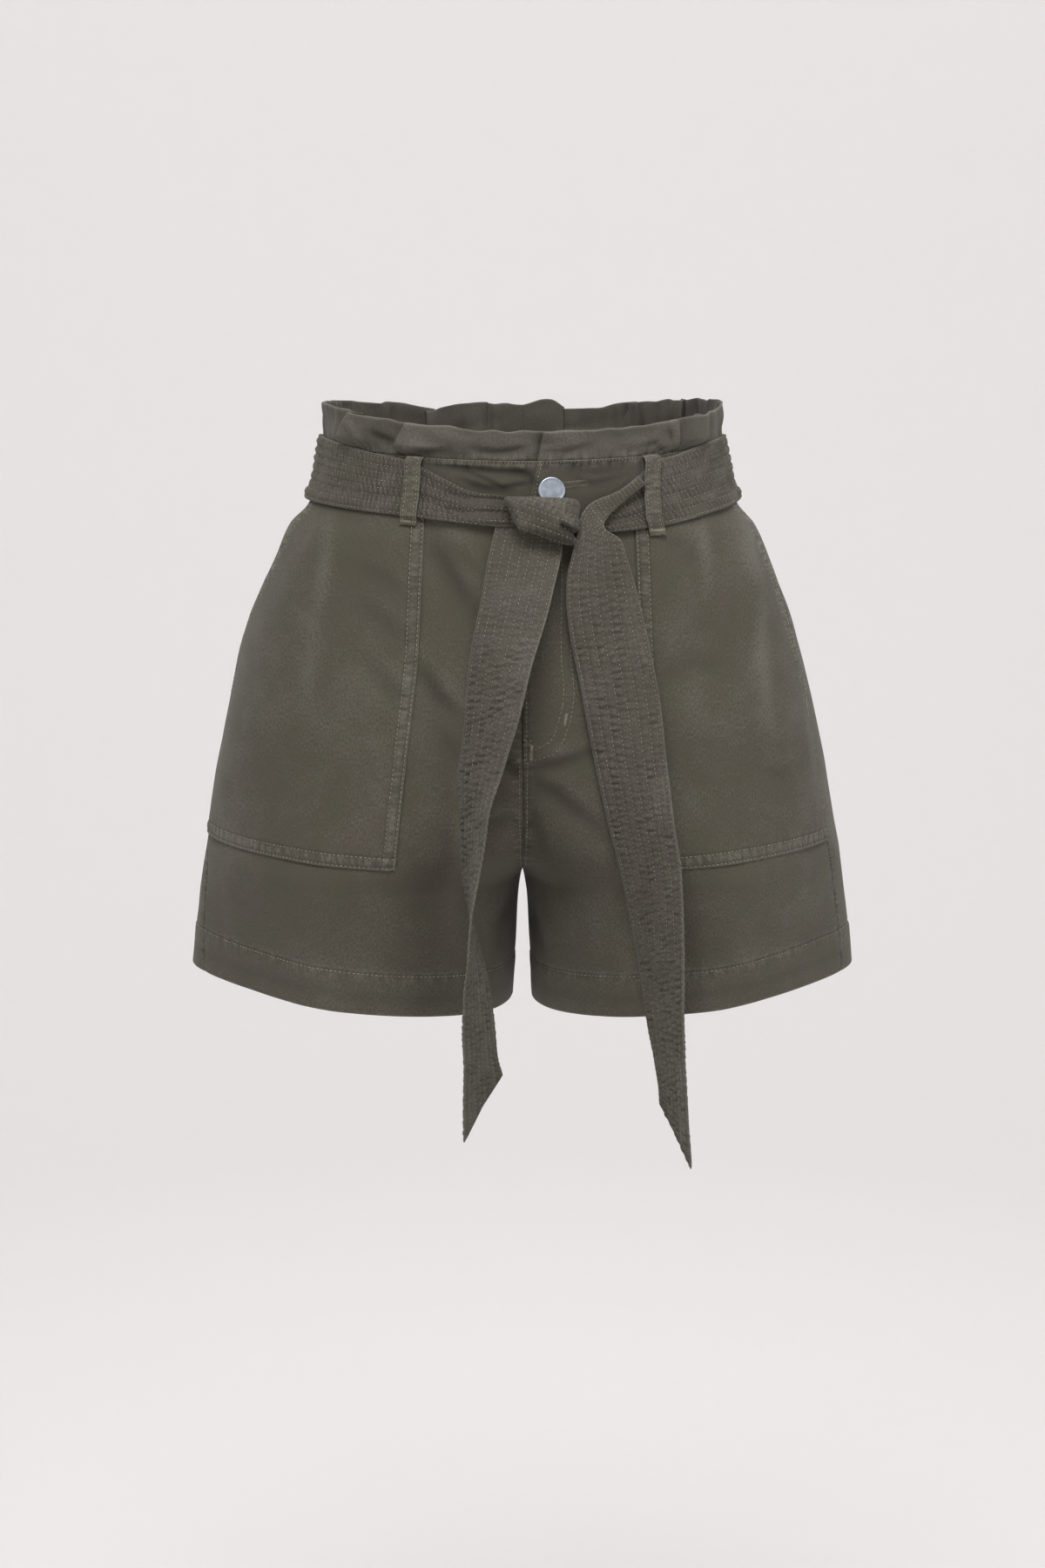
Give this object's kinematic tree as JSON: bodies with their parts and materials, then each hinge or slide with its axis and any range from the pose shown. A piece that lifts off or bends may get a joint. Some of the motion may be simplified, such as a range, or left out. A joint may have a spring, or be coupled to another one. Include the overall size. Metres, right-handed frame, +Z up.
{
  "type": "cargo shorts",
  "caption": "Paper-bag-waist cargo shorts with large slanted patch pockets, a buttoned waistband, belt loops and a quilted tie belt.",
  "frame": {"origin": "middle of the waist opening, level with the middle of the belt", "axes": "+Z up towards the frill, the front faces -Y, +X is the wearer's left"},
  "size_m": [0.4183, 0.2791, 0.4541],
  "materials": {
    "olive_twill": "matt cotton twill, garment-washed olive",
    "quilted_twill": "the same twill, doubled and sewn in eight rows",
    "button_metal": "satin nickel-coloured metal, plain face"
  },
  "bodies": {
    "root": {"front_left": "olive_twill", "front_right": "olive_twill", "back_left": "olive_twill", "back_right": "olive_twill", "pocket_left": "olive_twill", "pocket_right": "olive_twill", "waistband_left": "olive_twill", "waistband_right": "olive_twill", "frill_left": "olive_twill", "frill_right": "olive_twill", "belt_band": "quilted_twill", "belt_knot": "quilted_twill", "belt_end_left": "quilted_twill", "belt_end_right": "quilted_twill", "belt_loop_1": "olive_twill", "belt_loop_2": "olive_twill", "belt_loop_3": "olive_twill", "belt_loop_4": "olive_twill", "belt_loop_5": "olive_twill", "button": "button_metal"}
  },
  "joints": []
}
